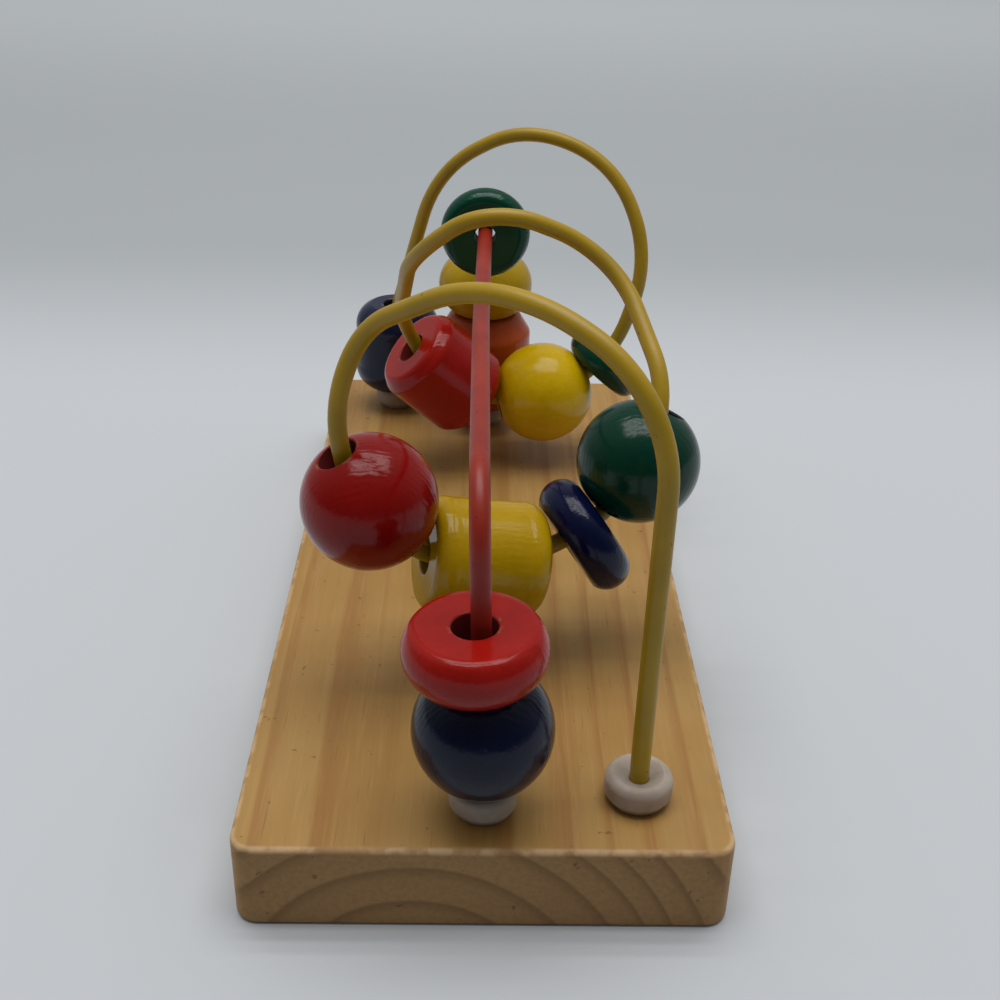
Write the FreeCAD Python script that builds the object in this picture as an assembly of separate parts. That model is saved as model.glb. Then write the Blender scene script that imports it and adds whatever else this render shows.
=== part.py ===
import FreeCAD, Part
import math
import os

# A bead maze. A wooden board carries two bent steel wires with a coloured plastic coat, and
# thirteen painted wooden beads are threaded on them: a low red hoop over the board's middle line,
# and a yellow wire that rolls up and down from the front right corner to the rear left one.
# Lengths are millimetres and angles are degrees. The origin is the middle of the board's
# underside, with +X to the right, +Y to the rear and +Z up.

# The board
BOARD_WIDTH = 90.0
BOARD_LENGTH = 205.0
BOARD_THICKNESS = 18.0
BOARD_CORNER_RADIUS = 4.4
BOARD_EDGE_RADIUS = 1.0
SOCKET_DEPTH = 12.0

# The wires: a steel core, and a dipped plastic coat that stops at the board
STEEL_DIAMETER = 3.0
COAT_WALL = 0.3
STEEL_SIDE_CLEARANCE = 0.05
STEEL_END_CLEARANCE = 0.5
FOOT_RISE = 9.0
FOOT_BEND_RADIUS = 60.0

# The turned collars that hide the holes
COLLAR_DIAMETER = 12.6
COLLAR_FOOT_DIAMETER = 10.2
COLLAR_HEIGHT = 6.0
COLLAR_WAIST_HEIGHT = 2.0
COLLAR_BRIM_RADIUS = 1.7
COLLAR_DIMPLE_DIAMETER = 9.0
COLLAR_DIMPLE_DEPTH = 1.3
COLLAR_WIRE_CLEARANCE = 0.1

# The beads. All have the same bore, apart from the disc that hangs from the hoop's top, and at
# rest each one lies this gap from what carries it.
BORE_DIAMETER = 8.1
HANGING_DISC_BORE_DIAMETER = 5.5
BORE_EDGE_RADIUS = 0.4
REST_GAP = 0.3
SMALL_BALL_DIAMETER = 25.5
RED_BALL_DIAMETER = 26.9
YELLOW_BALL_DIAMETER = 26.6
DISC_DIAMETER = 25.6
DISC_THICKNESS = 9.6
DISC_FACE_DIAMETER = 21.6
RING_DIAMETER = 25.9
RING_THICKNESS = 8.9
RING_FACE_DIAMETER = 20.4
THIN_DISC_DIAMETER = 22.9
THIN_DISC_THICKNESS = 7.6
THIN_DISC_FACE_DIAMETER = 19.2
ROUNDED_BEAD_DIAMETER = 25.8
ROUNDED_BEAD_THICKNESS = 15.5
ROUNDED_BEAD_FACE_DIAMETER = 17.0
BEVEL_EDGE_RADIUS = 2.4
LEG_BARREL_DIAMETER = 25.6
LEG_BARREL_LENGTH = 27.4
LEG_BARREL_FACE_DIAMETER = 18.8
LEG_BARREL_BEVEL_LENGTH = 5.6
LOOP_BARREL_DIAMETER = 24.6
LOOP_BARREL_LENGTH = 23.8
LOOP_BARREL_FACE_DIAMETER = 20.4
LOOP_BARREL_BEVEL_LENGTH = 3.0
WIDE_BARREL_DIAMETER = 24.0
WIDE_BARREL_LENGTH = 23.8
WIDE_BARREL_FACE_DIAMETER = 20.4
WIDE_BARREL_SHOULDER_LENGTH = 4.6
SLIM_BARREL_DIAMETER = 23.6
SLIM_BARREL_LENGTH = 25.0
SLIM_BARREL_FACE_DIAMETER = 15.2
SLIM_BARREL_SHOULDER_LENGTH = 7.4
TOP_DISC_SIDE_SHIFT = 1.1

# The bores are wider than the wire, so a bead can lie askew on it. These are the turn about the
# upright and the tilt of the two barrels, in degrees, and how far the front loop's balls ride up.
WIDE_BARREL_LEAN = (-4.5, -2.2)
LOOP_BARREL_LEAN = (6.0, 0.0)
RED_BALL_RISE = 0.9
GREEN_BALL_RISE = 0.7

# The red hoop. Its points are shares of the board's width, of its length and of the hoop's height.
HOOP_HEIGHT = 64.3
HOOP_FRONT_BEND_RADIUS = 13.0
HOOP_REAR_BEND_RADIUS = 14.0
HOOP_CROWN_RADIUS = 1400.0
HOOP_POINT_SHARES = {
    "front_foot": (-0.001, -0.444, 0.0),
    "front_corner": (-0.018, -0.446, 1.0),
    "crown": (-0.018, -0.061, 0.992),
    "rear_corner": (-0.004, 0.362, 0.984),
    "rear_foot": (-0.003, 0.363, 0.0),
}

# The yellow wire. Its points are shares of the board's width, of its length and of the wire's
# height, and then the share of the room at the point that its bend takes up.
ROLL_HEIGHT = 94.7
ROLL_FRONT_FOOT_SHARES = (0.316, -0.429)
ROLL_REAR_FOOT_SHARES = (-0.288, 0.417)
ROLL_FRONT_POINT_SHARES = [
    (0.320, -0.435, 0.862, 0.96),
    (0.013, -0.346, 1.0, 0.96),
    (-0.260, -0.252, 0.818, 0.96),
]
ROLL_MIDDLE_POINT_SHARES = [
    (0.297, -0.015, 0.806, 0.96),
    (-0.002, -0.048, 0.933, 0.96),
    (-0.191, 0.004, 0.775, 0.96),
]
ROLL_REAR_POINT_SHARES = [
    (0.366, 0.327, 0.820, 0.96),
    (0.106, 0.352, 0.907, 0.96),
    (-0.156, 0.401, 0.754, 0.96),
    (-0.288, 0.417, 0.309, 0.22),
]
ROLL_STRAND_SHARE = 0.96

# The two hanging loops of the yellow wire, each an arc in an upright plane. The heading is the
# plane's turn from +X, and the two angles are measured from straight down.
FRONT_LOOP_RADIUS = 33.1
FRONT_LOOP_CENTRE_SHARES = (0.042, -0.209, 0.598)
FRONT_LOOP_HEADING = 17.9
FRONT_LOOP_ANGLES = (-80.0, 67.4)
FRONT_LOOP_STRANDS = (10.9, 11.9)
REAR_LOOP_RADIUS = 30.6
REAR_LOOP_CENTRE_SHARES = (0.097, 0.248, 0.508)
REAR_LOOP_HEADING = 9.9
REAR_LOOP_ANGLES = (-62.3, 73.1)
REAR_LOOP_STRANDS = (9.9, 17.3)

# Where the first bead of each stack lies: an angle round its loop. The disc that hangs from the
# hoop's top lies a distance in front of the rear bend.
FRONT_LOOP_BARREL_ANGLE = -9.0
REAR_LOOP_BALL_ANGLE = 13.5
HANGING_DISC_INSET = 7.0

WIRE_DIAMETER = STEEL_DIAMETER + 2 * COAT_WALL
UP = FreeCAD.Vector(0, 0, 1)
SETTLE_STEPS = 12
BORE_SHARES = [-0.5, -0.375, -0.25, -0.125, 0.0, 0.125, 0.25, 0.375, 0.5]


def unit(vector):
    """The direction of a vector."""
    return vector * (1 / vector.Length)


class Run:
    """A straight run of a wire's centre line."""

    def __init__(self, start, end):
        self.start = start
        self.heading = unit(end - start)
        self.length = (end - start).Length
        self.edge = Part.LineSegment(start, end).toShape()

    def at(self, distance):
        return self.start + self.heading * distance


class Bend:
    """An arc of a wire's centre line, turned about an axis through its centre."""

    def __init__(self, start, centre, axis, angle):
        self.start = start
        self.centre = centre
        self.axis = axis
        self.radius = (start - centre).Length
        self.length = self.radius * math.radians(angle)
        middle = self.at(self.length / 2)
        self.edge = Part.Arc(start, middle, self.at(self.length)).toShape()

    def at(self, distance):
        turn = FreeCAD.Rotation(self.axis, math.degrees(distance / self.radius))
        return self.centre + turn.multVec(self.start - self.centre)


class Route:
    """A wire's centre line: runs and bends, end to end, measured from its first foot."""

    def __init__(self, pieces):
        self.pieces = pieces
        self.length = sum(piece.length for piece in pieces)

    def at(self, distance):
        last = self.pieces[-1]
        for piece in self.pieces:
            if distance <= piece.length or piece is last:
                return piece.at(distance)
            distance -= piece.length

    def station_of(self, wanted):
        """The distance along the route at which a piece starts."""
        station = 0
        for piece in self.pieces:
            if piece is wanted:
                return station
            station += piece.length


class Loop:
    """A hanging loop: one bend in an upright plane, and the strands that lead in and out of it."""

    def __init__(self, radius, centre, heading, angles, strands):
        self.radius = radius
        self.centre = centre
        self.across = FreeCAD.Rotation(UP, heading).multVec(FreeCAD.Vector(1, 0, 0))
        self.axis = unit(self.across.cross(UP) * -1)
        self.angles = angles
        self.start = self.point(angles[0])
        self.end = self.point(angles[1])
        self.corner_in = self.start - self.tangent(angles[0]) * strands[0]
        self.corner_out = self.end + self.tangent(angles[1]) * strands[1]
        self.bend = Bend(self.start, centre, self.axis * -1, angles[1] - angles[0])

    def point(self, angle):
        turn = math.radians(angle)
        return self.centre + (self.across * math.sin(turn) - UP * math.cos(turn)) * self.radius

    def tangent(self, angle):
        turn = math.radians(angle)
        return self.across * math.cos(turn) + UP * math.sin(turn)

    def arc_to(self, angle):
        """The length of the bend from its start to an angle."""
        return self.radius * math.radians(angle - self.angles[0])


def corner_bend(before, corner, after, radius):
    """The arc of a radius that is tangent to both runs at a corner, and its two ends."""
    into = unit(corner - before)
    out = unit(after - corner)
    angle = math.degrees(into.getAngle(out))
    reach = radius * math.tan(math.radians(angle) / 2)
    start = corner - into * reach
    end = corner + out * reach
    axis = unit(into.cross(out))
    centre = start + axis.cross(into) * radius
    return Bend(start, centre, axis, angle), start, end


def share_radius(before, corner, after, share, first, last):
    """The bend radius that takes up a share of the room at a corner."""
    room_before = (corner - before).Length * (1 if first else 1 / 2)
    room_after = (after - corner).Length * (1 if last else 1 / 2)
    angle = (corner - before).getAngle(after - corner)
    return share * min(room_before, room_after) / math.tan(angle / 2)


def rounded(points, radii):
    """Runs and bends through a list of points, with the given radius at each inner one."""
    pieces = []
    start = points[0]
    for before, corner, after, radius in zip(points, points[1:], points[2:], radii):
        bend, bend_start, bend_end = corner_bend(before, corner, after, radius)
        pieces.append(Run(start, bend_start))
        pieces.append(bend)
        start = bend_end
    pieces.append(Run(start, points[-1]))
    return pieces


def share_rounded(points, shares, foot_first=False, foot_last=False):
    """Runs and bends whose radii are shares of the room at each point, apart from the feet's."""
    radii = []
    final = len(shares) - 1
    for index, share in enumerate(shares):
        corners = points[index], points[index + 1], points[index + 2]
        radii.append(share_radius(*corners, share, index == 0, index == final))
    if foot_first:
        radii[0] = FOOT_BEND_RADIUS
    if foot_last:
        radii[-1] = FOOT_BEND_RADIUS
    return rounded(points, radii)


def over_board(x_share, y_share, rise):
    """A point over the board, from shares of its width and length and a height above its top."""
    return FreeCAD.Vector(x_share * BOARD_WIDTH, y_share * BOARD_LENGTH, BOARD_THICKNESS + rise)


def hoop_route():
    """The red wire, from its front foot to its rear foot."""
    named = {}
    for name, (x_share, y_share, z_share) in HOOP_POINT_SHARES.items():
        named[name] = over_board(x_share, y_share, z_share * HOOP_HEIGHT)
    rise = UP * FOOT_RISE
    points = [named["front_foot"], named["front_foot"] + rise, named["front_corner"], named["crown"]]
    points += [named["rear_corner"], named["rear_foot"] + rise, named["rear_foot"]]
    radii = [FOOT_BEND_RADIUS, HOOP_FRONT_BEND_RADIUS, HOOP_CROWN_RADIUS]
    radii += [HOOP_REAR_BEND_RADIUS, FOOT_BEND_RADIUS]
    return Route(rounded(points, radii))


def hanging_loops():
    """The two loops of the yellow wire, front and rear."""
    x_share, y_share, z_share = FRONT_LOOP_CENTRE_SHARES
    front_centre = over_board(x_share, y_share, z_share * ROLL_HEIGHT)
    x_share, y_share, z_share = REAR_LOOP_CENTRE_SHARES
    rear_centre = over_board(x_share, y_share, z_share * ROLL_HEIGHT)
    front = Loop(FRONT_LOOP_RADIUS, front_centre, FRONT_LOOP_HEADING, FRONT_LOOP_ANGLES,
                 FRONT_LOOP_STRANDS)
    rear = Loop(REAR_LOOP_RADIUS, rear_centre, REAR_LOOP_HEADING, REAR_LOOP_ANGLES,
                REAR_LOOP_STRANDS)
    return front, rear


def roll_points(point_shares):
    """The points and the bend shares of one stretch of the yellow wire."""
    points = [over_board(x, y, z * ROLL_HEIGHT) for x, y, z, bend in point_shares]
    return points, [bend for x, y, z, bend in point_shares]


def roll_route(front, rear):
    """The yellow wire, from its front right foot to its rear left foot."""
    rise = UP * FOOT_RISE
    first_foot = over_board(*ROLL_FRONT_FOOT_SHARES, 0)
    last_foot = over_board(*ROLL_REAR_FOOT_SHARES, 0)
    points, shares = roll_points(ROLL_FRONT_POINT_SHARES)
    points = [first_foot, first_foot + rise] + points + [front.corner_in, front.start]
    pieces = share_rounded(points, [1] + shares + [ROLL_STRAND_SHARE], foot_first=True)
    pieces.append(front.bend)
    points, shares = roll_points(ROLL_MIDDLE_POINT_SHARES)
    points = [front.end, front.corner_out] + points + [rear.corner_in, rear.start]
    pieces += share_rounded(points, [ROLL_STRAND_SHARE] + shares + [ROLL_STRAND_SHARE])
    pieces.append(rear.bend)
    points, shares = roll_points(ROLL_REAR_POINT_SHARES)
    points = [rear.end, rear.corner_out] + points + [last_foot]
    pieces += share_rounded(points, [ROLL_STRAND_SHARE] + shares)
    return Route(pieces)


def swept(path, start, diameter):
    """A round bar along a path that starts straight up."""
    circle = Part.Wire(Part.makeCircle(diameter / 2, start, UP))
    return Part.Wire(path).makePipeShell([circle], True, False)


def wire_core(route):
    """The steel: the whole route, and a straight end in each of the board's sockets."""
    sunk = UP * (SOCKET_DEPTH - STEEL_END_CLEARANCE)
    first_foot = route.at(0)
    last_foot = route.at(route.length)
    ends = [Part.LineSegment(first_foot - sunk, first_foot).toShape()]
    tail = [Part.LineSegment(last_foot, last_foot - sunk).toShape()]
    path = ends + [piece.edge for piece in route.pieces] + tail
    return swept(path, first_foot - sunk, STEEL_DIAMETER)


def wire_coat(route):
    """The plastic coat round the steel, from board to board."""
    edges = [piece.edge for piece in route.pieces]
    outer = swept(edges, route.at(0), WIRE_DIAMETER)
    return outer.cut(wire_core(route))


def base_board(feet):
    """The planed board: eased edges, and a blind hole under each foot of the wires."""
    corner = FreeCAD.Vector(-BOARD_WIDTH / 2, -BOARD_LENGTH / 2, 0)
    board = Part.makeBox(BOARD_WIDTH, BOARD_LENGTH, BOARD_THICKNESS, corner)
    upright = [edge for edge in board.Edges if abs(edge.tangentAt(edge.FirstParameter).z) > 0.5]
    board = board.makeFillet(BOARD_CORNER_RADIUS, upright)
    flats = [face for face in board.Faces if abs(face.normalAt(0, 0).z) > 0.5]
    rims = [edge for face in flats for edge in face.Edges]
    board = board.makeFillet(BOARD_EDGE_RADIUS, rims)
    socket_radius = STEEL_DIAMETER / 2 + STEEL_SIDE_CLEARANCE
    for foot in feet:
        bottom = foot - UP * SOCKET_DEPTH
        board = board.cut(Part.makeCylinder(socket_radius, SOCKET_DEPTH, bottom, UP))
    return board


def turned(edges):
    """A solid of revolution about the Z axis from the edges of a closed profile."""
    profile = Part.Face(Part.Wire(edges))
    return profile.revolve(FreeCAD.Vector(0, 0, 0), UP, 360)


def profile_point(radius, height):
    """A point of a turned profile."""
    return FreeCAD.Vector(radius, 0, height)


def line(start, end):
    return Part.LineSegment(start, end).toShape()


def arc(start, through, end):
    return Part.Arc(start, through, end).toShape()


def collar(foot):
    """A turned collar on the board: a narrow foot, a round brim and a dimple round the wire."""
    wire_radius = WIRE_DIAMETER / 2 + COLLAR_WIRE_CLEARANCE
    foot_radius = COLLAR_FOOT_DIAMETER / 2
    brim = COLLAR_DIAMETER / 2
    flat = brim - COLLAR_BRIM_RADIUS
    dimple_radius = COLLAR_DIMPLE_DIAMETER / 2
    shoulder = COLLAR_HEIGHT - COLLAR_BRIM_RADIUS
    rounding = COLLAR_BRIM_RADIUS * math.sqrt(1 / 2)
    bottom_in = profile_point(wire_radius, 0)
    bottom_out = profile_point(foot_radius, 0)
    waist = profile_point(brim, COLLAR_WAIST_HEIGHT)
    brim_low = profile_point(brim, shoulder)
    brim_round = profile_point(flat + rounding, shoulder + rounding)
    brim_top = profile_point(flat, COLLAR_HEIGHT)
    dimple_out = profile_point(dimple_radius, COLLAR_HEIGHT)
    dimple_in = profile_point(wire_radius, COLLAR_HEIGHT - COLLAR_DIMPLE_DEPTH)
    edges = [
        line(bottom_in, bottom_out),
        line(bottom_out, waist),
        line(waist, brim_low),
        arc(brim_low, brim_round, brim_top),
        line(brim_top, dimple_out),
        line(dimple_out, dimple_in),
        line(dimple_in, bottom_in),
    ]
    shape = turned(edges)
    shape.translate(foot)
    return shape


def bored(edges, length, bore=BORE_DIAMETER):
    """A turned bead from the edges of its outer profile, closed along its bore.

    The outer profile runs from the bore's top edge to its bottom edge, and both edges of the
    bore are rounded over."""
    radius = bore / 2
    half = length / 2
    inset = BORE_EDGE_RADIUS
    rounding = inset * (1 - math.sqrt(1 / 2))
    top_round = arc(profile_point(radius + inset, half),
                    profile_point(radius + rounding, half - rounding),
                    profile_point(radius, half - inset))
    bottom_round = arc(profile_point(radius, inset - half),
                       profile_point(radius + rounding, rounding - half),
                       profile_point(radius + inset, -half))
    wall = line(profile_point(radius, half - inset), profile_point(radius, inset - half))
    return turned([top_round, wall, bottom_round] + edges)


def ball_length(diameter):
    """The length of a ball bead along its bore."""
    rim = BORE_DIAMETER / 2 + BORE_EDGE_RADIUS
    return 2 * math.sqrt((diameter / 2) ** 2 - rim ** 2)


def ball(diameter):
    """A round bead."""
    length = ball_length(diameter)
    rim = BORE_DIAMETER / 2 + BORE_EDGE_RADIUS
    outside = arc(profile_point(rim, length / 2), profile_point(diameter / 2, 0),
                  profile_point(rim, -length / 2))
    return bored([outside], length)


def disc(diameter, thickness, face_diameter, bore=BORE_DIAMETER):
    """A disc or ring bead: two flat faces and a rim that bulges out between them."""
    half = thickness / 2
    rim = bore / 2 + BORE_EDGE_RADIUS
    face = face_diameter / 2
    outside = [
        line(profile_point(rim, half), profile_point(face, half)),
        arc(profile_point(face, half), profile_point(diameter / 2, 0), profile_point(face, -half)),
        line(profile_point(face, -half), profile_point(rim, -half)),
    ]
    return bored(outside, thickness, bore)


def bevelled_barrel(diameter, length, face_diameter, bevel_length):
    """A cylinder bead with a bevel at each end, its edges rounded over by many coats of paint."""
    half = length / 2
    rim = BORE_DIAMETER / 2 + BORE_EDGE_RADIUS
    face = face_diameter / 2
    side = diameter / 2
    shoulder = half - bevel_length
    corners = [(rim, half), (face, half), (side, shoulder), (side, -shoulder), (face, -half), (rim, -half)]
    points = [profile_point(*corner) for corner in corners]
    radii = [BEVEL_EDGE_RADIUS for corner in corners[1:-1]]
    return bored([piece.edge for piece in rounded(points, radii)], length)


def shouldered_barrel(diameter, length, face_diameter, shoulder_length):
    """A cylinder bead with a rounded shoulder at each end."""
    half = length / 2
    rim = BORE_DIAMETER / 2 + BORE_EDGE_RADIUS
    face = face_diameter / 2
    side = diameter / 2
    shoulder = half - shoulder_length
    across = (side - face) * math.sqrt(1 / 2)
    along = shoulder_length * math.sqrt(1 / 2)
    outside = [
        line(profile_point(rim, half), profile_point(face, half)),
        arc(profile_point(face, half), profile_point(face + across, shoulder + along),
            profile_point(side, shoulder)),
        line(profile_point(side, shoulder), profile_point(side, -shoulder)),
        arc(profile_point(side, -shoulder), profile_point(face + across, -shoulder - along),
            profile_point(face, -half)),
        line(profile_point(face, -half), profile_point(rim, -half)),
    ]
    return bored(outside, length)


def placed(shape, centre, axis):
    """A copy of a shape, moved so that its centre and its Z axis lie as given."""
    copy = shape.copy()
    copy.Placement = FreeCAD.Placement(centre, FreeCAD.Rotation(UP, axis))
    return copy


def leaning(axis, lean):
    """A bore's axis after its bead has turned about the upright and then tilted."""
    turn, tilt = lean
    turned_axis = FreeCAD.Rotation(UP, turn).multVec(axis)
    return FreeCAD.Rotation(unit(turned_axis.cross(UP)), tilt).multVec(turned_axis)


def threaded(shape, length, route, station, hangs, bore=BORE_DIAMETER, lean=(0, 0), rise=0):
    """A bead on a wire, its bore lined up with the stretch of wire inside it, or leaning a little.

    The bore's axis runs through the middle of the wire's sag in the bore. A bead that hangs is
    then let down until the wire lies the rest gap from the bore's wall, less its rise."""
    start = route.at(station - length / 2)
    end = route.at(station + length / 2)
    axis = leaning(unit(end - start), lean)
    middle = (start + end) * (1 / 2)
    places = [route.at(station + share * length) - middle for share in BORE_SHARES]
    sags = [place - axis * place.dot(axis) for place in places]
    deepest = max(sags, key=lambda sag: sag.Length)
    centre = deepest * (1 / 2)
    if hangs:
        slant = max((places[1] - places[0]).getAngle(axis), (places[-1] - places[-2]).getAngle(axis))
        reach = bore / 2 - REST_GAP - WIRE_DIAMETER / 2 / math.cos(slant)
        down = unit(axis * axis.z - UP)
        centre += down * (min(drop_room(sag - centre, down, reach) for sag in sags) - rise)
    return placed(shape, middle + centre, axis)


def drop_room(offset, down, reach):
    """How far a bore may drop before the wire, off its axis by an offset, is out of reach."""
    along = offset.dot(down)
    return along + math.sqrt(max(along ** 2 - offset.Length ** 2 + reach ** 2, 0))


def settled(shape, length, route, station, side, neighbour, lean=(0, 0), rise=0):
    """A hanging bead slid along its wire until it lies the rest gap from its neighbour.

    It starts from a station that is clear of the neighbour, and side is 1 if the neighbour
    lies before it on the wire, or -1 if it lies after it. The bead and its station are returned."""
    for step in range(SETTLE_STEPS):
        bead = threaded(shape, length, route, station, True, lean=lean, rise=rise)
        gap = bead.distToShape(neighbour)[0]
        station -= side * (gap - REST_GAP)
    return threaded(shape, length, route, station, True, lean=lean, rise=rise), station


def stack_station(length, neighbour_length, station, side, spread):
    """A station that is surely clear of a neighbour on the wire."""
    return station + side * spread * (length + neighbour_length) / 2


def leg_beads(hoop):
    """The beads on the red hoop's legs and top."""
    beads = {}
    first_ball = ball_length(SMALL_BALL_DIAMETER)
    seat = COLLAR_HEIGHT + REST_GAP
    station = seat + first_ball / 2
    beads["blue_ball"] = threaded(ball(SMALL_BALL_DIAMETER), first_ball, hoop, station, False)
    station += first_ball / 2 + REST_GAP + DISC_THICKNESS / 2
    top_disc = disc(DISC_DIAMETER, DISC_THICKNESS, DISC_FACE_DIAMETER)
    beads["red_disc"] = threaded(top_disc, DISC_THICKNESS, hoop, station, False)
    beads["red_disc"].translate(FreeCAD.Vector(-TOP_DISC_SIDE_SHIFT, 0, 0))
    barrel = bevelled_barrel(LEG_BARREL_DIAMETER, LEG_BARREL_LENGTH, LEG_BARREL_FACE_DIAMETER,
                             LEG_BARREL_BEVEL_LENGTH)
    station = hoop.length - seat - LEG_BARREL_LENGTH / 2
    beads["red_leg_barrel"] = threaded(barrel, LEG_BARREL_LENGTH, hoop, station, False)
    station -= LEG_BARREL_LENGTH / 2 + REST_GAP + ROUNDED_BEAD_THICKNESS / 2
    rounded_bead = disc(ROUNDED_BEAD_DIAMETER, ROUNDED_BEAD_THICKNESS, ROUNDED_BEAD_FACE_DIAMETER)
    beads["yellow_rounded_bead"] = threaded(rounded_bead, ROUNDED_BEAD_THICKNESS, hoop, station, False)
    rear_bend = [piece for piece in hoop.pieces if isinstance(piece, Bend)][-2]
    station = hoop.station_of(rear_bend) - HANGING_DISC_INSET
    thin = disc(THIN_DISC_DIAMETER, THIN_DISC_THICKNESS, THIN_DISC_FACE_DIAMETER,
                HANGING_DISC_BORE_DIAMETER)
    beads["green_hanging_disc"] = threaded(thin, THIN_DISC_THICKNESS, hoop, station, True,
                                           HANGING_DISC_BORE_DIAMETER)
    return beads


def front_loop_beads(roll, loop):
    """The beads in the yellow wire's front loop, stacked up both sides from the lowest."""
    beads = {}
    loop_start = roll.station_of(loop.bend)
    red_length = ball_length(RED_BALL_DIAMETER)
    green_length = ball_length(SMALL_BALL_DIAMETER)
    spread = loop.radius / (loop.radius - RED_BALL_DIAMETER / 2)
    barrel_station = loop_start + loop.arc_to(FRONT_LOOP_BARREL_ANGLE)
    barrel = shouldered_barrel(WIDE_BARREL_DIAMETER, WIDE_BARREL_LENGTH, WIDE_BARREL_FACE_DIAMETER,
                               WIDE_BARREL_SHOULDER_LENGTH)
    beads["yellow_barrel"] = threaded(barrel, WIDE_BARREL_LENGTH, roll, barrel_station, True,
                                      lean=WIDE_BARREL_LEAN)
    station = stack_station(red_length, WIDE_BARREL_LENGTH, barrel_station, -1, spread)
    beads["red_ball"], station = settled(ball(RED_BALL_DIAMETER), red_length, roll, station, -1,
                                         beads["yellow_barrel"], rise=RED_BALL_RISE)
    ring = disc(RING_DIAMETER, RING_THICKNESS, RING_FACE_DIAMETER)
    station = stack_station(RING_THICKNESS, WIDE_BARREL_LENGTH, barrel_station, 1, spread)
    beads["blue_ring"], ring_station = settled(ring, RING_THICKNESS, roll, station, 1,
                                               beads["yellow_barrel"])
    station = stack_station(green_length, RING_THICKNESS, ring_station, 1, spread)
    beads["green_ball"], station = settled(ball(SMALL_BALL_DIAMETER), green_length, roll, station,
                                           1, beads["blue_ring"], rise=GREEN_BALL_RISE)
    return beads


def rear_loop_beads(roll, loop):
    """The beads in the yellow wire's rear loop, stacked up both sides from the lowest."""
    beads = {}
    loop_start = roll.station_of(loop.bend)
    length = ball_length(YELLOW_BALL_DIAMETER)
    spread = loop.radius / (loop.radius - YELLOW_BALL_DIAMETER / 2)
    ball_station = loop_start + loop.arc_to(REAR_LOOP_BALL_ANGLE)
    beads["yellow_ball"] = threaded(ball(YELLOW_BALL_DIAMETER), length, roll, ball_station, True)
    barrel = bevelled_barrel(LOOP_BARREL_DIAMETER, LOOP_BARREL_LENGTH, LOOP_BARREL_FACE_DIAMETER,
                             LOOP_BARREL_BEVEL_LENGTH)
    station = stack_station(LOOP_BARREL_LENGTH, length, ball_station, -1, spread)
    beads["red_loop_barrel"], station = settled(barrel, LOOP_BARREL_LENGTH, roll, station, -1,
                                                beads["yellow_ball"], lean=LOOP_BARREL_LEAN)
    thin = disc(THIN_DISC_DIAMETER, THIN_DISC_THICKNESS, THIN_DISC_FACE_DIAMETER)
    station = stack_station(THIN_DISC_THICKNESS, length, ball_station, 1, spread)
    beads["green_disc"], station = settled(thin, THIN_DISC_THICKNESS, roll, station, 1,
                                           beads["yellow_ball"])
    return beads


def rear_leg_barrel(roll):
    """The barrel bead that stands on the yellow wire's rear collar."""
    barrel = shouldered_barrel(SLIM_BARREL_DIAMETER, SLIM_BARREL_LENGTH,
                               SLIM_BARREL_FACE_DIAMETER, SLIM_BARREL_SHOULDER_LENGTH)
    station = roll.length - COLLAR_HEIGHT - REST_GAP - SLIM_BARREL_LENGTH / 2
    return threaded(barrel, SLIM_BARREL_LENGTH, roll, station, False)


def report(name, shape, route, area):
    """Print a sweep's volume beside its section times its length."""
    print(name, "volume", round(shape.Volume, 1), "section times length", round(area * route.length, 1))


def main():
    """Build every piece and write each one to its own file."""
    os.makedirs("parts", exist_ok=True)
    front, rear = hanging_loops()
    hoop = hoop_route()
    roll = roll_route(front, rear)
    nodes = {}
    feet = {
        "red_wire_front_collar": hoop.at(0),
        "red_wire_rear_collar": hoop.at(hoop.length),
        "yellow_wire_front_collar": roll.at(0),
        "yellow_wire_rear_collar": roll.at(roll.length),
    }
    nodes["base_board"] = base_board(feet.values())
    for name, foot in feet.items():
        nodes[name] = collar(foot)
    coat_area = math.pi * (WIRE_DIAMETER ** 2 - STEEL_DIAMETER ** 2) / 4
    for colour, route in (("red", hoop), ("yellow", roll)):
        nodes[colour + "_wire_core"] = wire_core(route)
        nodes[colour + "_wire_coat"] = wire_coat(route)
        report(colour + " coat", nodes[colour + "_wire_coat"], route, coat_area)
        radii = [round(piece.radius, 1) for piece in route.pieces if isinstance(piece, Bend)]
        print(colour, "wire bend radii", radii)
    nodes.update(leg_beads(hoop))
    nodes.update(front_loop_beads(roll, front))
    nodes.update(rear_loop_beads(roll, rear))
    nodes["blue_leg_barrel"] = rear_leg_barrel(roll)
    for name, shape in nodes.items():
        shape.exportStep("parts/" + name + ".step")


if __name__ == "__main__":
    main()
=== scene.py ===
import math

import bpy
import numpy
from mathutils import Matrix, Vector


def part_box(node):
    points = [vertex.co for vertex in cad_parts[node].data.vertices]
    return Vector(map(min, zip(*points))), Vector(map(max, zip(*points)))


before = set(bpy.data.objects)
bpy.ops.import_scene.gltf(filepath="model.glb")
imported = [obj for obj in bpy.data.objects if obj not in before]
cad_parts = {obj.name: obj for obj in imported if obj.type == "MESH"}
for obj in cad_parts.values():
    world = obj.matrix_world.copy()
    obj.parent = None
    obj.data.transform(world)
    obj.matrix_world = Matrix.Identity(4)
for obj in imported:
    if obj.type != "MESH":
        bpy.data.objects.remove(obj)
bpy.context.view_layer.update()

# The board, in metres: half its width and length, its thickness, and the round of its upright corners.
HALF_WIDTH = 0.045
HALF_LENGTH = 0.1025
THICKNESS = 0.018
CORNER_RADIUS = 0.0044

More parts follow.
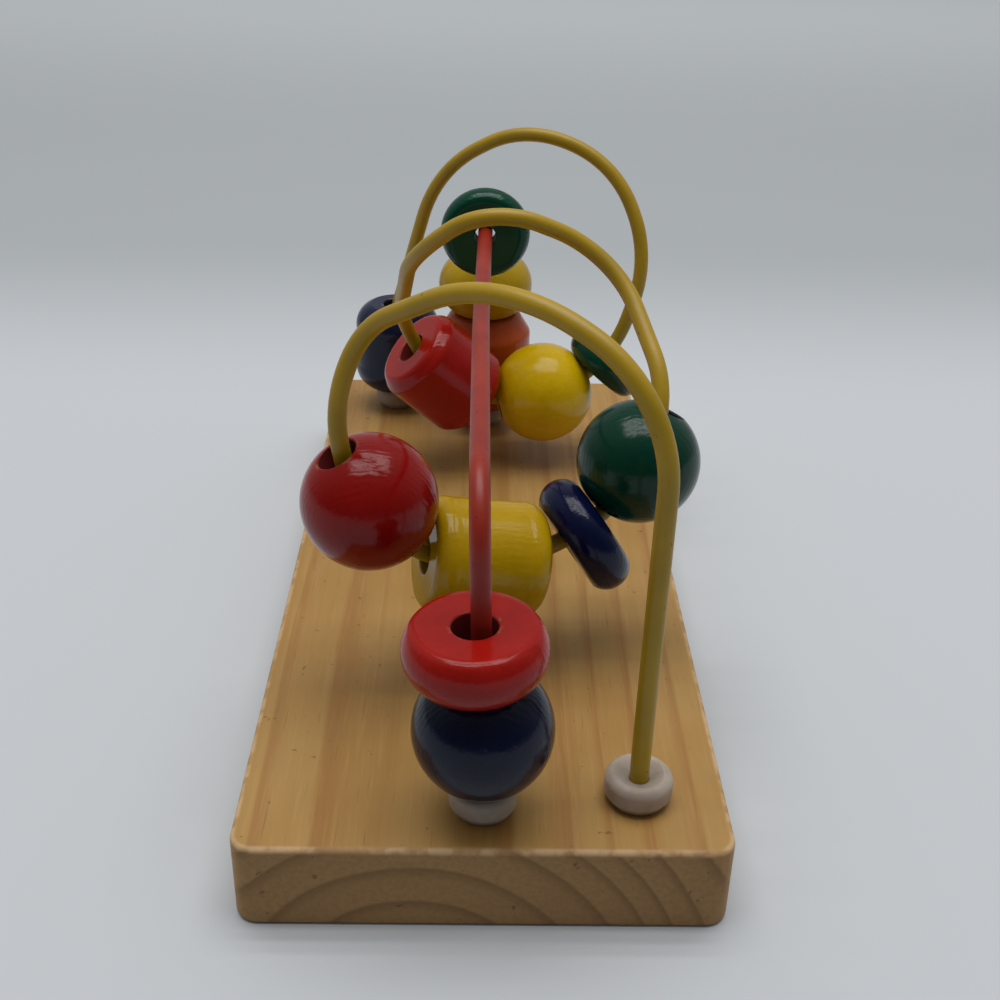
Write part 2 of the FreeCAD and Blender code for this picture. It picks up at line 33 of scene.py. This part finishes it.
# The tree's centre, seen on the board's end: it lies under the board, so the rings arch upwards.
PITH_ACROSS = -0.012
PITH_HEIGHT = -0.018
RING_RADII = (0.0165, 0.0243, 0.0321, 0.0402, 0.0461, 0.0508, 0.0562, 0.0634, 0.0705)

# One ring of the tree in three stages, pale to dark: how far across it each lies, and how dark it is.
RING_STAGES = ((0.04, 0.0), (0.70, 0.22), (0.97, 1.0))

# The pine's colours, as the board's lacquer shows them.
EARLY_WOOD = ((0.44, 0.256, 0.076), (0.395, 0.216, 0.056))
LATE_WOOD = (0.30, 0.125, 0.026)
STREAK = (0.33, 0.15, 0.036)
PALE_FIBRE = (0.53, 0.33, 0.125)
RESIN_CANAL = (0.20, 0.095, 0.03)
# The end grain's pale wood is its own tone, lightened and cooled by painted fill light on the board's ends.
END_PALE_WOOD_AND_FILL_LIGHT = ((0.47, 0.272, 0.115), (0.415, 0.237, 0.096))
END_LATE_WOOD = (0.19, 0.105, 0.04)
WOOD_SPECK = (0.12, 0.06, 0.022)
# The paler upper rim is partly wear and partly a painted highlight.
WORN_AND_HIGHLIT_EDGE = (0.68, 0.47, 0.26)
GRAIN_DEPTH = 0.00018

# How deep under the board's eased edges the worn rim with its painted highlight fades out, and the end grain
# fades in.
RIM_FADES = (0.0004, 0.0013)
END_STARTS = (0.0016, 0.0004)

# The radius of a bead's hole. The hanging disc's is the narrow one.
HOLE = 0.0041
NARROW_HOLE = 0.0028

# The beads whose paint softens the edges of their flat faces: a face's radius, and how far it lies
# from the bead's middle.
FACES = {
    "red_disc": (0.0108, 0.0048),
    "yellow_rounded_bead": (0.0085, 0.00775),
    "green_hanging_disc": (0.0096, 0.0038),
    "yellow_barrel": (0.0102, 0.0119),
    "blue_ring": (0.0102, 0.00445),
    "green_disc": (0.0096, 0.0038),
}

# The paint's ripples, and how coats of it soften a face's edge: how far in, and by how much it falls.
RELIEF = 0.000045
EDGE_SOFTNESS = 0.0012
EDGE_FALL = 0.00022

# The paint's darkest and palest mottling, the painted shade down its hole, and the worn lip round the hole.
DARK_MOTTLING = 0.90
PALE_MOTTLING = 1.08
BORE_PAINTED_SHADE = 0.30
BARE_LIP = (0.34, 0.19, 0.08)
LIP_FADES = (0.0003, 0.0009)

# The sheets of the tree's rings that show through the paint as ripples.
RING_SHEETS = {"wave_type": "BANDS", "bands_direction": "Y", "wave_profile": "SIN"}
SHEET_BENDS = {"Scale": 285.0, "Distortion": 5.0, "Detail": 2.0, "Detail Scale": 1.0, "Detail Roughness": 0.6}

# Each bead's paint. The batches of paint differ a little.
PAINTS = {
    "blue_ball": (0.003, 0.006, 0.026),
    "red_disc": (0.34, 0.008, 0.004),
    "red_leg_barrel": (0.44, 0.075, 0.014),
    "yellow_rounded_bead": (0.48, 0.3, 0.006),
    "green_hanging_disc": (0.001, 0.05, 0.027),
    "yellow_barrel": (0.5, 0.3, 0.002),
    "red_ball": (0.26, 0.004, 0.002),
    "blue_ring": (0.002, 0.005, 0.032),
    "green_ball": (0.0005, 0.036, 0.019),
    "yellow_ball": (0.66, 0.42, 0.002),
    "green_disc": (0.001, 0.046, 0.026),
    "red_loop_barrel": (0.34, 0.008, 0.004),
    "blue_leg_barrel": (0.007, 0.011, 0.038),
}

# The wires' coats: the colour, its darker batches, and the scratches and specks in it.
YELLOW_COAT = ((0.46, 0.285, 0.008), (0.38, 0.24, 0.007), (0.06, 0.045, 0.01))
RED_COAT = ((0.34, 0.026, 0.009), (0.27, 0.014, 0.005), (0.06, 0.01, 0.006))

# The collars' plastic, and how far red, green and blue light goes into it.
COLLAR_PLASTIC = ((0.40, 0.345, 0.29), (0.33, 0.275, 0.22))
COLLAR_GLOW = (0.007, 0.005, 0.0038)

# Bare steel wire, in the die's fine lines and between them.
STEEL = ((0.52, 0.52, 0.53), (0.70, 0.70, 0.71))

# The floor: near the board, where it darkens like the wall, and far off. The last is for its light only.
FLOOR_REACH = 4.0
FLOOR_NEAR = (0.565, 0.585, 0.605)
FLOOR_DARK = (0.40, 0.42, 0.434)
FLOOR_FAR = (0.56, 0.585, 0.595)
FLOOR_GIVES = (0.42, 0.43, 0.44)

# The room: dim in front, bright overhead and behind. The gloss mirrors a dimmer ceiling than
# the one that lights the board, and the camera sees one pale sky.
ROOM_FRONT = (0.075, 0.077, 0.081)
ROOM_OVERHEAD = (0.60, 0.618, 0.636)
ROOM_IN_GLOSS = (0.36, 0.371, 0.382)
EMPTY_SKY = (0.47, 0.485, 0.50)

# The ceiling light is four long strips side by side, which the gloss on the beads shows as fine lines.
STRIPS = 4
STRIP_PITCH = 0.29
STRIP_LENGTH = 1.6
STRIP_WIDTH = 0.11
STRIP_POWER = 4.95
STRIPS_MIDDLE = (0.03, 0.13, 1.7)

# The camera stands low in front of the board's end and looks down along it.
CAMERA_PLACE = (-0.00222, -0.27322, 0.18226)
CAMERA_PITCH = math.radians(28.81)
CAMERA_YAW = math.radians(1.22)
CAMERA_ROLL = math.radians(1.38)
FRAME_PIXELS = 1000
FOCAL_PIXELS = 1307.76
SENSOR_WIDTH = 36.0


class Value:
    """What one node of a material gives. Arithmetic on it adds Math nodes."""

    def __init__(self, finish, socket):
        self.finish = finish
        self.socket = socket

    def sum_of(self, operation, first, second):
        return self.finish.node("ShaderNodeMath", {"operation": operation}, {0: first, 1: second})

    def __add__(self, other):
        return self.sum_of("ADD", self, other)

    def __radd__(self, other):
        return self.sum_of("ADD", other, self)

    def __sub__(self, other):
        return self.sum_of("SUBTRACT", self, other)

    def __rsub__(self, other):
        return self.sum_of("SUBTRACT", other, self)

    def __mul__(self, other):
        return self.sum_of("MULTIPLY", self, other)

    def __rmul__(self, other):
        return self.sum_of("MULTIPLY", other, self)

    def __truediv__(self, other):
        return self.sum_of("DIVIDE", self, other)

    def __pow__(self, other):
        return self.sum_of("POWER", self, other)

    def __abs__(self):
        return self.sum_of("ABSOLUTE", self, 0.0)

    def over(self, floor):
        """This value, or the floor where it is less."""
        return self.sum_of("MAXIMUM", self, floor)


class Finish:
    """A material or a world, built node by node."""

    def __init__(self, owner):
        self.owner = owner
        owner.use_nodes = True
        self.tree = owner.node_tree
        self.tree.nodes.clear()

    def node(self, kind, settings=None, inputs=None, output=0):
        made = self.tree.nodes.new(kind)
        for name, value in (settings or {}).items():
            if name == "stops":
                self.set_stops(made.color_ramp, value)
            else:
                setattr(made, name, value)
        for name, value in (inputs or {}).items():
            if isinstance(value, Value):
                self.tree.links.new(value.socket, made.inputs[name])
            else:
                made.inputs[name].default_value = value
        return Value(self, made.outputs[output]) if len(made.outputs) else made

    def set_stops(self, ramp, stops):
        while len(ramp.elements) < len(stops):
            ramp.elements.new(1.0)
        for element, (position, shade) in zip(ramp.elements, stops):
            element.position = position
            element.color = (shade, shade, shade, 1.0)

    def place(self):
        return self.node("ShaderNodeTexCoord", output="Object")

    def turned(self, vector, centre, axis):
        """The place measured from a bead's centre, with its bore along Z."""
        turn = Vector((0, 0, 1)).rotation_difference(Vector(axis)).to_euler()
        inputs = {"Vector": vector, "Location": centre, "Rotation": turn}
        return self.node("ShaderNodeMapping", {"vector_type": "TEXTURE"}, inputs)

    def stretched(self, vector, scale):
        return self.node("ShaderNodeMapping", None, {"Vector": vector, "Scale": scale})

    def parts(self, vector):
        split = self.node("ShaderNodeSeparateXYZ", None, {0: vector})
        return [Value(self, output) for output in split.socket.node.outputs]

    def noise(self, vector, scale, detail=2.0, roughness=0.5):
        inputs = {"Vector": vector, "Scale": scale, "Detail": detail, "Roughness": roughness}
        return self.node("ShaderNodeTexNoise", None, inputs)

    def step(self, value, low, high):
        """0 below low, 1 above high, and smooth between them."""
        inputs = {"Value": value, "From Min": low, "From Max": high}
        return self.node("ShaderNodeMapRange", {"interpolation_type": "SMOOTHSTEP"}, inputs)

    def mix(self, first, second, factor):
        settings = {"data_type": "RGBA"}
        ends = [value if isinstance(value, Value) else (*value, 1.0) for value in (first, second)]
        return self.node("ShaderNodeMix", settings, {0: factor, 6: ends[0], 7: ends[1]}, output=2)

    def ray(self, kind):
        """1 for light rays of that kind, and 0 for the others."""
        return self.node("ShaderNodeLightPath", output=kind)

    def bump(self, height, distance, strength=1.0):
        inputs = {"Height": height, "Distance": distance, "Strength": strength}
        return self.node("ShaderNodeBump", None, inputs)

    def surface(self, **values):
        """Adds the shader and gives back the material. Underscores stand for the sockets' spaces."""
        inputs = {}
        for name, value in values.items():
            plain = isinstance(value, tuple) and len(value) == 3 and "Radius" not in name
            inputs[name.replace("_", " ")] = (*value, 1.0) if plain else value
        shader = self.node("ShaderNodeBsdfPrincipled", None, inputs)
        self.node("ShaderNodeOutputMaterial", None, {"Surface": shader})
        return self.owner


def growth_rings(wood, place):
    """0 in the rings' pale early wood, up to 1 at the dark end of each ring."""
    across, _, height = wood.parts(place)
    drift = wood.noise(wood.stretched(place, (18.0, 3.0, 18.0)), 1.0, 2.0) - 0.5
    sway = wood.noise(wood.stretched(place, (1.0, 7.0, 1.0)), 1.0, 1.0) - 0.5
    from_pith_x = across - PITH_ACROSS + sway * 0.004
    from_pith_z = height - PITH_HEIGHT
    radius = (from_pith_x ** 2.0 + from_pith_z * from_pith_z) ** 0.5 + drift * 0.003
    outermost = RING_RADII[-1]
    stops = []
    for inner, outer in zip(RING_RADII, RING_RADII[1:]):
        for share, darkness in RING_STAGES:
            stops.append(((inner + (outer - inner) * share) / outermost, darkness))
    return wood.node("ShaderNodeValToRGB", {"stops": stops}, {"Fac": radius / outermost})


def upper_rim(wood, place):
    """1 along the board's upper edge, where hands rub it and a painted highlight lies."""
    across, along, height = wood.parts(place)
    corner_x = (abs(across) - (HALF_WIDTH - CORNER_RADIUS)).over(0.0)
    corner_y = (abs(along) - (HALF_LENGTH - CORNER_RADIUS)).over(0.0)
    inset = CORNER_RADIUS - (corner_x * corner_x + corner_y * corner_y) ** 0.5
    bare, whole = RIM_FADES
    return (1.0 - wood.step(inset, bare, whole)) * wood.step(height, THICKNESS - whole, THICKNESS - bare)


def pine(name):
    """Planed pine under satin lacquer: growth rings along the board, darker end grain whose pale wood carries
    painted fill light, worn upper edges that also carry a painted highlight.
    """
    wood = Finish(bpy.data.materials.new(name))
    place = wood.place()
    along = wood.parts(place)[1]
    late = growth_rings(wood, place)
    fine = wood.noise(wood.stretched(place, (1.0, 0.035, 1.0)), 1400.0, 4.0, 0.6)
    streak = wood.noise(wood.stretched(place, (1.0, 0.02, 1.0)), 330.0, 3.0, 0.55)
    blotch = wood.noise(wood.stretched(place, (1.0, 0.35, 1.0)), 60.0, 3.0, 0.5)
    shade = wood.mix(*EARLY_WOOD, wood.step(blotch, 0.35, 0.7))
    shade = wood.mix(shade, LATE_WOOD, late * (0.42 + streak * 0.35))
    shade = wood.mix(shade, STREAK, wood.step(streak, 0.46, 0.75) * 0.45)
    shade = wood.mix(shade, PALE_FIBRE, wood.step(fine, 0.5, 0.75) * 0.28)
    canals = wood.noise(wood.stretched(place, (1.0, 0.045, 1.0)), 1900.0, 2.0, 0.5)
    shade = wood.mix(shade, RESIN_CANAL, wood.step(canals, 0.66, 0.76) * 0.40)
    pores = wood.noise(wood.stretched(place, (1.0, 0.25, 1.0)), 900.0, 2.0, 0.6)
    # The end faces take the end grain's colours, whose pale wood carries painted fill light.
    end_shade = wood.mix(*END_PALE_WOOD_AND_FILL_LIGHT, wood.step(pores, 0.35, 0.7))
    end_shade = wood.mix(end_shade, END_LATE_WOOD, late * 0.62)
    end = wood.step(abs(along), HALF_LENGTH - END_STARTS[0], HALF_LENGTH - END_STARTS[1])
    shade = wood.mix(shade, end_shade, end)
    speck = wood.step(wood.noise(place, 520.0, 2.0, 0.5), 0.70, 0.76)
    shade = wood.mix(shade, WOOD_SPECK, speck * 0.55)
    # The upper rim is paled: partly worn by hands, partly a painted highlight where the eased edge catches
    # the light.
    rim = upper_rim(wood, place)
    wear_and_highlight_patches = wood.step(wood.noise(place, 260.0, 3.0), 0.38, 0.6)
    shade = wood.mix(shade, WORN_AND_HIGHLIT_EDGE, rim * (0.12 + wear_and_highlight_patches * 0.60))
    grain = wood.bump(fine * 0.5 + streak * 0.5 - late * 0.35, GRAIN_DEPTH, 0.55)
    rough = 0.42 + streak * 0.14 + end * 0.22 + rim * 0.12
    return wood.surface(Base_Color=shade, Roughness=rough, Normal=grain, Specular_IOR_Level=0.3)


def middle_and_bore(node):
    """A bead's middle, and the direction of its bore that points up, from its mesh in the frame."""
    low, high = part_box(node)
    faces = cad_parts[node].data.polygons
    normals = numpy.array([face.normal * math.sqrt(face.area) for face in faces])
    shares, axes = numpy.linalg.eigh(normals.T @ normals)
    # A turned shape faces equally much to every side of its bore, so the bore is the share that differs.
    first_gap, last_gap = numpy.diff(shares)
    bore = Vector(axes[:, 0 if first_gap > last_gap else 2])
    return (Vector(low) + Vector(high)) / 2, bore if bore.z > 0 else -bore


def painted(name, centre, bore, colour, hole, face):
    """Glossy paint over turned wood: the tree's rings lie in sheets along the bore, and ripple the gloss."""
    paint = Finish(bpy.data.materials.new(name))
    place = paint.turned(paint.place(), centre, bore)
    x, y, z = paint.parts(place)
    from_bore = (x * x + y * y) ** 0.5
    sheets = paint.node("ShaderNodeTexWave", RING_SHEETS, {"Vector": place, **SHEET_BENDS})
    patches = paint.step(paint.noise(paint.stretched(place, (0.6, 1.0, 0.6)), 330.0, 2.0, 0.5), 0.38, 0.66)
    peel = paint.noise(paint.stretched(place, (1.0, 1.0, 0.6)), 1300.0, 3.0, 0.6)
    cloud = paint.noise(place, 110.0, 2.0, 0.5)
    dark = tuple(channel * DARK_MOTTLING for channel in colour)
    pale = tuple(channel * PALE_MOTTLING + 0.001 for channel in colour)
    bore_painted_shade_colour = tuple(channel * BORE_PAINTED_SHADE + 0.015 for channel in colour)
    shade = paint.mix(dark, pale, paint.step(peel * 0.4 + cloud * 0.6, 0.3, 0.7))
    # Down the bore the paint is darkened as painted shade.
    inside = 1.0 - paint.step(from_bore, hole - 0.0001, hole + 0.0002)
    shade = paint.mix(shade, bore_painted_shade_colour, inside * 0.8)
    worn = paint.step(paint.noise(place, 420.0, 3.0), 0.52, 0.62)
    beyond_lip = paint.step(from_bore, hole + LIP_FADES[0], hole + LIP_FADES[1])
    lip = paint.step(from_bore, hole, hole + 0.0002) * (1.0 - beyond_lip)
    shade = paint.mix(shade, BARE_LIP, lip * worn * 0.35)
    relief = sheets * (patches * 0.55 + 0.05) + peel * 0.80
    if face:
        face_radius, half_length = face
        from_edge = ((from_bore - face_radius) ** 2.0 + (abs(z) - half_length) ** 2.0) ** 0.5
        falling = (1.0 - from_edge / EDGE_SOFTNESS).over(0.0)
        flat = paint.step(abs(z), half_length - 0.0004, half_length - 0.0001)
        relief = relief * (1.0 - flat * 0.75) - falling * falling * (EDGE_FALL / RELIEF)
    ripples = paint.bump(relief, RELIEF)
    rough = 0.12 + cloud * 0.07 + inside * 0.45
    return paint.surface(Base_Color=shade, Roughness=rough, Normal=ripples, Specular_IOR_Level=0.25)


def coated(name, colour, shade_colour, scratch):
    """Dipped plastic on wire: smooth and glossy, with scuffs and a few dark specks."""
    coat = Finish(bpy.data.materials.new(name))
    place = coat.place()
    cloud = coat.noise(place, 70.0, 3.0, 0.55)
    shade = coat.mix(colour, shade_colour, coat.step(cloud, 0.35, 0.75))
    speck = coat.step(coat.noise(place, 620.0, 2.0, 0.5), 0.71, 0.77)
    shade = coat.mix(shade, scratch, speck * 0.6)
    scuff = coat.noise(place, 900.0, 3.0, 0.6)
    scuffed = coat.bump(scuff * 0.5 + cloud * 0.5, 0.00010, 0.6)
    rough = 0.32 + cloud * 0.14 + speck * 0.2
    return coat.surface(Base_Color=shade, Roughness=rough, Normal=scuffed, Specular_IOR_Level=0.42)


def milky(name):
    """Moulded plastic, cloudy and slightly see-through."""
    plastic = Finish(bpy.data.materials.new(name))
    place = plastic.place()
    cloud = plastic.noise(place, 240.0, 3.0, 0.5)
    shade = plastic.mix(*COLLAR_PLASTIC, plastic.step(cloud, 0.35, 0.7))
    uneven = plastic.bump(plastic.noise(place, 500.0, 2.0), 0.0001, 0.4)
    return plastic.surface(
        Base_Color=shade, Roughness=0.42 + cloud * 0.1, Normal=uneven, Subsurface_Weight=0.65,
        Subsurface_Radius=COLLAR_GLOW, Subsurface_Scale=1.0, Specular_IOR_Level=0.3)


def drawn_steel(name):
    """Steel wire with the die's fine lines."""
    steel = Finish(bpy.data.materials.new(name))
    lines = steel.noise(steel.place(), 1500.0, 3.0, 0.6)
    shade = steel.mix(*STEEL, lines)
    return steel.surface(Base_Color=shade, Metallic=1.0, Roughness=0.24 + lines * 0.16)


def floor_paper(name):
    """Pale paper. It darkens behind the board, as the wall does there, and pales further off."""
    paper = Finish(bpy.data.materials.new(name))
    along = paper.parts(paper.place())[1]
    behind_tone = paper.mix(FLOOR_DARK, FLOOR_FAR, paper.step(along, 0.45, 1.1))
    seen_tone = paper.mix(FLOOR_NEAR, behind_tone, paper.step(along, 0.12, 0.30))
    # The room in front of the board is dim, so less light comes up from the floor than its look tells.
    tone = paper.mix(seen_tone, FLOOR_GIVES, paper.ray("Is Diffuse Ray"))
    return paper.surface(Base_Color=tone, Roughness=0.85, Specular_IOR_Level=0.2)


def dim_room(name):
    """The world: a plain sky, brighter overhead and behind the board than in front of it."""
    sky = Finish(bpy.data.worlds.new(name))
    _, depth, lift = sky.parts(sky.node("ShaderNodeTexCoord", output="Generated"))
    behind = sky.step(depth * 0.75 + lift * 0.55, -0.35, 0.75)
    far_glow = sky.mix(ROOM_OVERHEAD, ROOM_IN_GLOSS, sky.ray("Is Glossy Ray"))
    glow = sky.mix(ROOM_FRONT, far_glow, behind)
    glow = sky.mix(glow, EMPTY_SKY, sky.ray("Is Camera Ray"))
    background = sky.node("ShaderNodeBackground", None, {"Color": glow, "Strength": 1.0})
    sky.node("ShaderNodeOutputWorld", None, {"Surface": background})
    return sky.owner


def ceiling_strip(name, place):
    """One soft strip light, which shines straight down."""
    light = bpy.data.lights.new(name, "AREA")
    light.shape = "RECTANGLE"
    light.size = STRIP_LENGTH
    light.size_y = STRIP_WIDTH
    light.energy = STRIP_POWER
    strip = bpy.data.objects.new(name, light)
    bpy.context.scene.collection.objects.link(strip)
    strip.location = place


def dress(node, material):
    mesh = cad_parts[node].data
    mesh.materials.clear()
    mesh.materials.append(material)


dress("base_board", pine("pine_board"))
for node, colour in PAINTS.items():
    centre, bore = middle_and_bore(node)
    hole = NARROW_HOLE if node == "green_hanging_disc" else HOLE
    dress(node, painted(node + "_paint", centre, bore, colour, hole, FACES.get(node)))
dress("yellow_wire_coat", coated("yellow_coat", *YELLOW_COAT))
dress("red_wire_coat", coated("red_coat", *RED_COAT))
collar_plastic = milky("white_collar")
wire_steel = drawn_steel("wire_steel")
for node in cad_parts:
    if node.endswith("_collar"):
        dress(node, collar_plastic)
    if node.endswith("_core"):
        dress(node, wire_steel)

bpy.ops.object.select_all(action="DESELECT")
bpy.ops.mesh.primitive_plane_add(size=FLOOR_REACH * 2, location=(0, 0, 0))
floor = bpy.context.object
floor.name = "floor"
bpy.ops.object.transform_apply(location=True, rotation=True, scale=True)
floor.data.materials.append(floor_paper("floor_paper"))

bpy.context.scene.world = dim_room("studio")

middle_across, middle_along, ceiling = STRIPS_MIDDLE
for strip in range(STRIPS):
    strip_along = middle_along + (strip - (STRIPS - 1) / 2) * STRIP_PITCH
    ceiling_strip("ceiling_strip_%d" % (strip + 1), (middle_across, strip_along, ceiling))

view = bpy.data.cameras.new("camera")
view.sensor_width = SENSOR_WIDTH
view.lens = SENSOR_WIDTH * FOCAL_PIXELS / FRAME_PIXELS
view.clip_start = 0.01
camera = bpy.data.objects.new("camera", view)
bpy.context.scene.collection.objects.link(camera)
ahead = Vector((
    math.sin(CAMERA_YAW) * math.cos(CAMERA_PITCH),
    math.cos(CAMERA_YAW) * math.cos(CAMERA_PITCH),
    -math.sin(CAMERA_PITCH)))
level = Vector((math.cos(CAMERA_YAW), -math.sin(CAMERA_YAW), 0))
upward = level.cross(ahead)
right = level * math.cos(CAMERA_ROLL) + upward * math.sin(CAMERA_ROLL)
top = upward * math.cos(CAMERA_ROLL) - level * math.sin(CAMERA_ROLL)
camera.matrix_world = Matrix.Translation(CAMERA_PLACE) @ Matrix((right, top, -ahead)).transposed().to_4x4()
bpy.context.scene.camera = camera
bpy.context.scene.view_settings.view_transform = "Standard"
